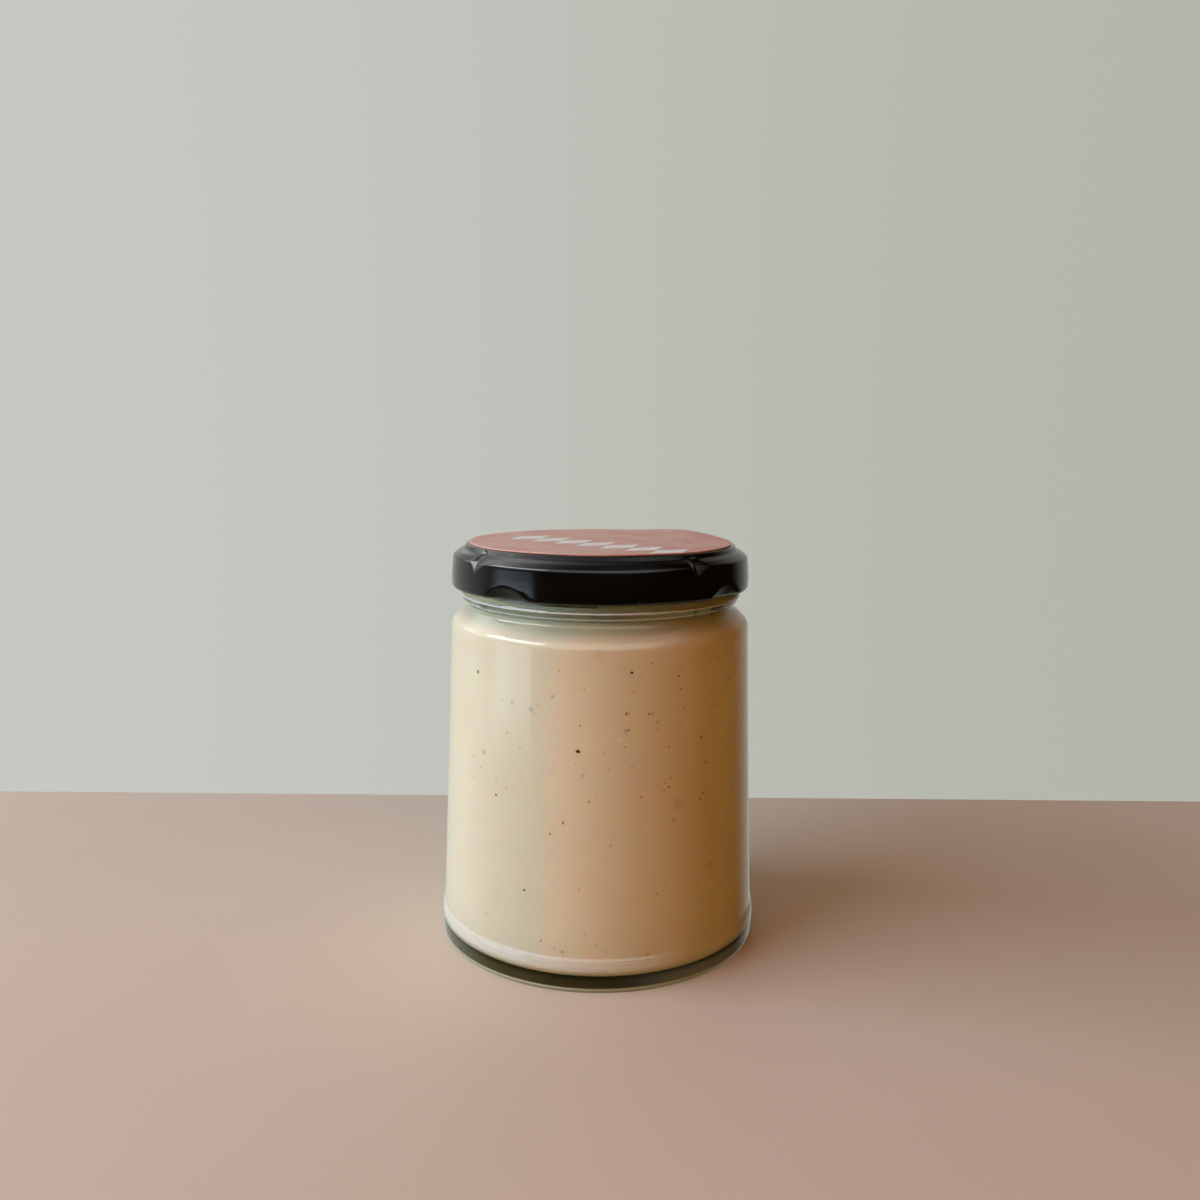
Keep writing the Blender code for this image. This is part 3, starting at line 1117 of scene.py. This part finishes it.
@dataclass
class TwistCap:
    """The black twist-off cap: panel, step, shoulder, barrelled skirt and curl, with dents and lugs."""

    steps: int = 300
    top: float = 90.62 * MM
    panel_radius: float = 30.0 * MM
    step_radius: float = 30.6 * MM
    step_height: float = 89.7 * MM
    crease_radius: float = 32.8 * MM
    crease_height: float = 88.0 * MM
    radius: float = 33.25 * MM
    widest_height: float = 83.6 * MM
    bottom: float = 81.0 * MM
    curl: float = 0.85 * MM
    sheet: float = 0.45 * MM
    dent_count: int = 4
    dent_angle: float = math.radians(36.8)
    dent_depth: float = 0.85 * MM
    dent_tip_drop: float = 2.2 * MM
    dent_left: float = math.radians(2.6)
    dent_right: float = math.radians(6.4)
    dent_top_width: float = 0.35
    crowding: float = 0.6
    lug_angle: float = math.radians(54.0)
    lug_height: float = 3.4 * MM
    lug_half_width: float = math.radians(11.5)
    lug_slope: float = 0.42
    lug_depth: float = 1.1 * MM
    lug_softness: float = 0.35 * MM
    seat_radius: float = 26.5 * MM

    def section(self) -> list[Point]:
        """Draw the sheet.

        Returns:
            Its section: the outside going out and down, the curl, and the underside.
        """
        crown = 0.5 * (self.step_radius + self.crease_radius)
        outside = rounded([
            (0.0, self.top, 0.0),
            (self.panel_radius - 0.1 * MM, self.top, 0.3 * MM),
            (self.step_radius, self.step_height, 0.5 * MM),
            (crown, self.crease_height + 0.62 * (self.step_height - self.crease_height), 2.0 * MM),
            (self.crease_radius + 0.12 * MM, self.crease_height + 0.12 * MM, 1.0 * MM),
            (self.radius - 0.12 * MM, self.crease_height - 2.6 * MM, 4.0 * MM),
            (self.radius, self.widest_height, 4.0 * MM),
            (self.radius - 0.05 * MM, self.bottom + self.curl, 0.0),
        ], 6)
        curl = arc((self.radius - self.curl - 0.05 * MM, self.bottom + self.curl), self.curl, 0, -180, 12)
        inner, seat = self.crease_radius - self.sheet, self.step_height - self.sheet
        return self.spaced(outside) + curl[1:] + [
            (self.radius - 2 * self.curl + 0.3 * MM, self.bottom + 2 * self.curl + 0.3 * MM),
            (inner, self.crease_height - self.dent_tip_drop),
            (inner - 0.1 * MM, self.crease_height - self.sheet),
            (self.step_radius - self.sheet, seat),
            (self.seat_radius, seat),
            (0.0, self.top - self.sheet),
        ]

    def spaced(self, points: Sequence[Point], spacing: float = 0.4 * MM) -> list[Point]:
        """Add points to a section.

        Args:
            points: The section.
            spacing: The longest step outside the panel.

        Returns:
            The section with the points added.
        """
        fine = [points[0]]
        for here, there in zip(points, points[1:]):
            outside = here[0] > self.panel_radius - MM
            cuts = max(1, math.ceil(math.dist(here, there) / spacing)) if outside else 1
            for i in range(1, cuts + 1):
                t = i / cuts
                fine.append((here[0] + (there[0] - here[0]) * t, here[1] + (there[1] - here[1]) * t))
        return fine

    def dent(self, angle: float, height: float) -> float:
        """Press the V-shaped dents, which are steep on one side and point down the skirt.

        Args:
            angle: The angle from the front, in radians.
            height: The height.

        Returns:
            How deep they are there.
        """
        tip = self.crease_height - self.dent_tip_drop
        if height <= tip:
            return 0.0
        rise = min(1.0, (height - tip) / self.dent_tip_drop)
        fall = min(1.0, max(0.0, (self.top - height) / (self.top - self.crease_height)))
        offset = nearest_offset(angle, self.dent_angle, self.dent_count)
        narrowing = self.dent_top_width + (1.0 - self.dent_top_width) * fall
        width = (self.dent_left if offset < 0 else self.dent_right) * max(rise, 0.01) * narrowing
        across = max(0.0, 1.0 - abs(offset) / width)
        return self.dent_depth * rise * across * math.sqrt(fall)

    def lug(self, angle: float, height: float) -> float:
        """Draw the lower edge in at the lugs.

        Args:
            angle: The angle from the front, in radians.
            height: The height.

        Returns:
            How far it is drawn in there.
        """
        offset = nearest_offset(angle, self.lug_angle, self.dent_count) / self.lug_half_width
        line = self.bottom + self.lug_height * max(0.0, 1.0 - offset * offset)
        below = max(0.0, line - height)
        below = below * below / (below + self.lug_softness)
        return min(self.lug_depth, self.lug_slope * below)

    def build(self) -> None:
        """Turn the cap, press its dents and lugs, and put it in place."""
        bench = Bench("twist_cap")
        bench.draw(self.section())
        bench.turn(self.steps)

        def pressed(point: Vector) -> Vector:
            """Crowd the columns at the dents and press dents and lugs into the sheet.

            Args:
                point: A point of the sheet.

            Returns:
                Its new place.
            """
            angle = front_angle(point)
            offset = nearest_offset(angle, self.dent_angle, self.dent_count)
            angle -= self.crowding * math.sin(self.dent_count * offset) / self.dent_count
            radius = math.hypot(point.x, point.y)
            if radius > self.panel_radius:
                radius -= self.dent(angle, point.z) + self.lug(angle, point.z)
            return seated(Vector((radius * math.sin(angle), -radius * math.cos(angle), point.z)))

        bench.shape(pressed)
        piece = bench.take(BlackLacquer().material(), 32.0)
        piece.data.materials.append(GoldenLining().material())
        for face in piece.data.polygons:
            outward = Vector((face.center.x, face.center.y, 0.0)).normalized().dot(face.normal)
            inside = outward < 0.1 and face.normal.z < 0.5 and face.center.z > self.bottom + self.curl
            face.material_index = int(inside)
        hand_over(piece, Slot.LACQUER, "cap")


@dataclass
class PaperSticker:
    """The round paper sticker, slightly wavy, its back edge lifted in one place."""

    radius: float = 29.3 * MM
    low: float = 90.63 * MM
    high: float = 90.95 * MM
    rings: int = 36
    steps: int = 144
    ripple: float = 0.12 * MM
    lift: float = 0.75 * MM
    lift_angle: float = math.radians(137.0)
    lift_half_width: float = math.radians(34.0)
    lift_start: float = 0.55
    edge_corner: float = 0.1 * MM
    rise: float = 0.05 * MM

    def build(self) -> None:
        """Turn the disc, ripple it and put it in place."""
        top = [(self.radius * i / self.rings * 0.995, self.high) for i in range(self.rings)]
        rim = rounded([
            (*top[-1], 0.0),
            (self.radius, self.high, self.edge_corner),
            (self.radius, self.low, self.edge_corner),
            (self.radius - 0.5 * MM, self.low, 0.0),
        ], 3)[1:]
        under = [(self.radius * i / 12, self.low) for i in range(11, -1, -1)]
        bench = Bench("paper_sticker")
        bench.draw(top + rim + under)
        bench.turn(self.steps)

        def rippled(point: Vector) -> Vector:
            """Ripple the paper towards its edge and lift its back.

            Args:
                point: A point of the paper.

            Returns:
                Its new place.
            """
            out = math.hypot(point.x, point.y) / self.radius
            near = max(0.0, out - 0.5) * 2.0
            angle = front_angle(point)
            point.z += self.ripple * near * noise.noise(point * 70.0) + self.rise * near * near
            lift = max(0.0, out - self.lift_start) / (1.0 - self.lift_start)
            offset = nearest_offset(angle, self.lift_angle, 1)
            point.z += self.lift * lift * lift * bump_shape(offset, self.lift_half_width)
            return seated(point)

        bench.shape(rippled)
        hand_over(bench.take(RedPaper().material(), 50.0), Slot.PAPER, "cap_sticker")


# The studio


@dataclass(frozen=True)
class Softbox:
    """A soft rectangular lamp, placed by its direction from the jar, that faces a point on it.

    Directions are in degrees: azimuth from the front towards +X, elevation above the floor.
    """

    name: str
    azimuth: tuple[float, float]
    elevation: tuple[float, float]
    distance: float
    brightness: float
    colour: Colour = (1.0, 1.0, 1.0)
    aim_height: float = 0.045

    def hang(self) -> None:
        """Make the lamp, which lights the jar but isn't mirrored in it."""
        middle = 0.5 * math.radians(sum(self.azimuth))
        half = 0.5 * math.radians(self.azimuth[1] - self.azimuth[0])
        low, high = (self.aim_height + self.distance * math.tan(math.radians(e)) for e in self.elevation)
        place = Vector((math.sin(middle), -math.cos(middle), 0.0)) * self.distance
        place.z = 0.5 * (low + high)
        data = bpy.data.lights.new(self.name, "AREA")
        data.shape = "RECTANGLE"
        data.size = 2.0 * self.distance * math.tan(half)
        data.size_y = high - low
        data.energy = self.brightness * math.pi * data.size * data.size_y
        data.color = self.colour
        lamp = bpy.data.objects.new(self.name, data)
        bpy.context.scene.collection.objects.link(lamp)
        lamp.location = place
        aim = Vector((0.0, 0.0, self.aim_height)) - place
        lamp.rotation_euler = aim.to_track_quat("-Z", "Y").to_euler()
        lamp.visible_camera = False
        lamp.visible_glossy = lamp.visible_transmission = False


@dataclass(frozen=True)
class Panes:
    """Panes of a bright window that the jar mirrors.

    Both bands say where they start, are full, fade and end: round the jar, as angles in radians from the
    front, and in height, as the upward part of a direction.
    """

    around: tuple[float, float, float, float]
    height: tuple[float, float, float, float]
    colour: Colour


@dataclass
class Studio:
    """Floor, lamps, surroundings and camera."""

    floor_size: float = 5.0
    lens: float = 34.92
    eye: tuple[float, float, float] = (0.0, -260.2 * MM, 121.1 * MM)
    pitch: float = math.radians(9.6)
    roll: float = math.radians(0.49)
    wall_left: Colour = (0.565, 0.584, 0.539)
    wall_right: Colour = (0.462, 0.468, 0.418)
    wall_light: Colour = (0.66, 0.55, 0.41)
    dim_side: Colour = (0.030, 0.014, 0.005)
    glow: Colour = (1.8, 1.9, 1.85)
    sheen: Colour = (0.95, 1.1, 0.72)
    floor_back: float = 0.088
    lamps: Sequence[Softbox] = (
        Softbox("window", (-102.0, -40.0), (10.0, 34.0), 1.2, 7.0, (0.90, 0.945, 1.13)),
        Softbox("warm_bounce", (-42.0, 46.0), (1.0, 45.0), 0.7, 1.03, (1.0, 0.345, 0.045)),
    )
    panes: Sequence[Panes] = (
        Panes((-1.85, -1.78, -0.85, -0.78), (0.42, 0.46, 0.64, 0.70), (9.5, 9.8, 10.0)),
        Panes((-1.60, -1.35, -0.93, -0.87), (-0.26, -0.18, -0.03, 0.05), (1.6, 1.95, 2.35)),
    )

    def floor(self) -> None:
        """Lay the floor."""
        bpy.ops.object.select_all(action="DESELECT")
        middle = (0.0, self.floor_back - 0.5 * self.floor_size, 0.0)
        bpy.ops.mesh.primitive_plane_add(size=self.floor_size, location=middle)
        floor = bpy.context.active_object
        floor.name = "pale_floor"
        floor.visible_glossy = False
        floor.data.materials.append(PaleFloor().material())

    def overhead(self, x: Value, y: Value, z: Value) -> Value:
        """Place the soft glow overhead, which is stronger to the front and ends towards the right.

        Args:
            x: The direction's part towards the right.
            y: Its part towards the back.
            z: Its upward part.

        Returns:
            Its strength.
        """
        height = z.rise(0.10, 0.32) * (z.rise(1.0, 0.70) * 0.93 + 0.07)
        right = (x + y.rise(0.0, 0.4) * 0.55).rise(0.85, 0.25)
        gap = y.rise(0.5, 0.8) * x.rise(-0.2, -0.42)
        front = y.rise(0.0, -0.4) * 0.8 + 1.0
        return height * right * (1.0 - gap) * front * y.rise(1.25, 0.75)

    def underneath(self, x: Value, z: Value) -> Value:
        """Return the strength of the sheen from below, which is stronger to the sides."""
        below = z.rise(-0.45, -0.65) * 0.3 + z.rise(-0.82, -0.92) * 0.75
        return below * (abs(x + 0.1).rise(0.2, 0.8) * 0.8 + 0.2)

    def surroundings(self) -> None:
        """Light the room: pale behind, warm and dim elsewhere, and with glows that only mirrors see."""
        g = RoomGraph("room")
        x, y, z = g.axes()
        around = x.angle(0.0 - y)
        ray = g.node("ShaderNodeLightPath")
        camera, diffuse, glossy, passed = (
            g.value(ray, f"Is {kind} Ray") for kind in ("Camera", "Diffuse", "Glossy", "Transmission")
        )
        reflected = glossy * (1.0 - passed)
        wall = g.mix(x.rise(-0.45, 0.45), self.wall_left, self.wall_right)
        wall = g.mix(camera.most(glossy), self.wall_light, wall)
        behind = (y * 0.86 - x * 0.5).rise(0.2, 0.85) * (1.0 - diffuse * 0.5)
        mirrored = y.rise(0.45, 0.9) * reflected
        light = g.mix(behind.most(mirrored).most(camera), self.dim_side, wall)
        glows = [(self.overhead(x, y, z), self.glow)]
        for panes in self.panes:
            glows.append((around.band(*panes.around) * z.band(*panes.height), panes.colour))
        glows.append((self.underneath(x, z), self.sheen))
        for strength, colour in glows:
            light = g.mix(strength * reflected, light, colour, "ADD")
        bpy.context.scene.world = g.surround(light)

    def camera(self) -> None:
        """Set up the camera at the photograph's angle."""
        data = bpy.data.cameras.new("camera")
        data.lens = self.lens
        data.sensor_width = 36.0
        data.clip_start = 0.01
        camera = bpy.data.objects.new("camera", data)
        bpy.context.scene.collection.objects.link(camera)
        tilt = Matrix.Rotation(math.radians(90.0) - self.pitch, 4, "X")
        camera.matrix_world = Matrix.Translation(self.eye) @ tilt @ Matrix.Rotation(self.roll, 4, "Z")
        bpy.context.scene.camera = camera

    def build(self) -> None:
        """Set up the whole studio."""
        self.floor()
        self.surroundings()
        for lamp in self.lamps:
            lamp.hang()
        self.camera()
        bpy.context.scene.view_settings.view_transform = "Standard"
        LOG.info("studio: %d lamps, lens %.2f mm", len(self.lamps), self.lens)


def main() -> None:
    """Build every piece in order."""
    logging.basicConfig(level=logging.INFO, format="%(name)s: %(message)s")
    wall = WallForm()
    glass = GlassJar(wall)
    glass.build()
    SauceFill(glass).build()
    SauceSpecks(wall).build()
    TwistCap().build()
    PaperSticker().build()
    Studio().build()


if __name__ == "__main__":
    main()
